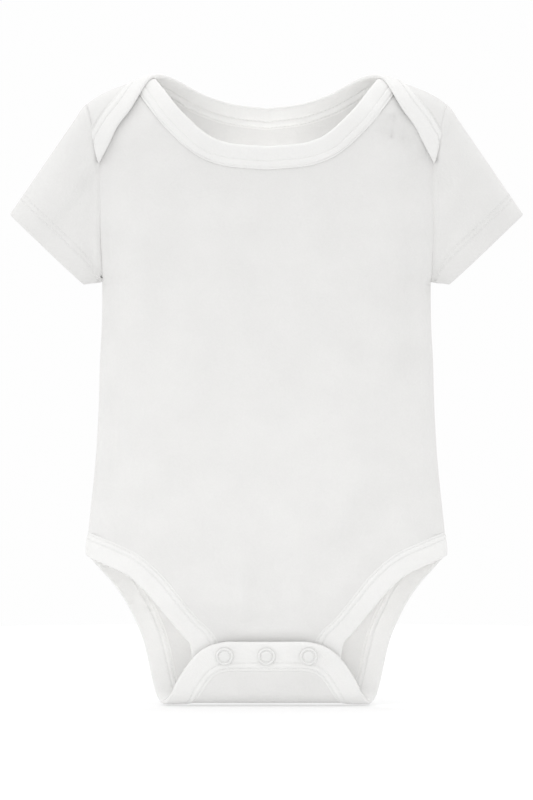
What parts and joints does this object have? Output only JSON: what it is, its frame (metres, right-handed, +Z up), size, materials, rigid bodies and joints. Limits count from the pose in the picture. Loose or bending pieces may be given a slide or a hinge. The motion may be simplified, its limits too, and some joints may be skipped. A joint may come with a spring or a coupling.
{
  "type": "baby bodysuit",
  "caption": "Baby's short-sleeved bodysuit with lapped shoulders, bound neck and leg openings and a snapped crotch, filled out and hollow.",
  "frame": {"origin": "midway between the two neck points, under the shoulder cloth, where the wearer's shoulders hold the garment up", "axes": "+Z up from crotch to neck, +X towards the wearer's left, and the front faces -Y"},
  "size_m": [0.3288, 0.0597, 0.4032],
  "materials": {
    "interlock_knit": "matt white interlock cotton knit",
    "binding_knit": "matt white rib knit, folded and coverstitched",
    "snap_plastic": "satin white moulded ring snap"
  },
  "bodies": {
    "root": {"front_panel": "interlock_knit", "back_panel": "interlock_knit", "sleeve_left": "interlock_knit", "sleeve_right": "interlock_knit", "neck_binding_front": "binding_knit", "neck_binding_back": "binding_knit", "leg_binding_left": "binding_knit", "leg_binding_right": "binding_knit", "flap_binding": "binding_knit", "placket_binding": "binding_knit", "snap_cap_1": "snap_plastic", "snap_cap_2": "snap_plastic", "snap_cap_3": "snap_plastic", "snap_socket_1": "snap_plastic", "snap_socket_2": "snap_plastic", "snap_socket_3": "snap_plastic", "snap_stud_1": "snap_plastic", "snap_stud_2": "snap_plastic", "snap_stud_3": "snap_plastic"}
  },
  "joints": []
}
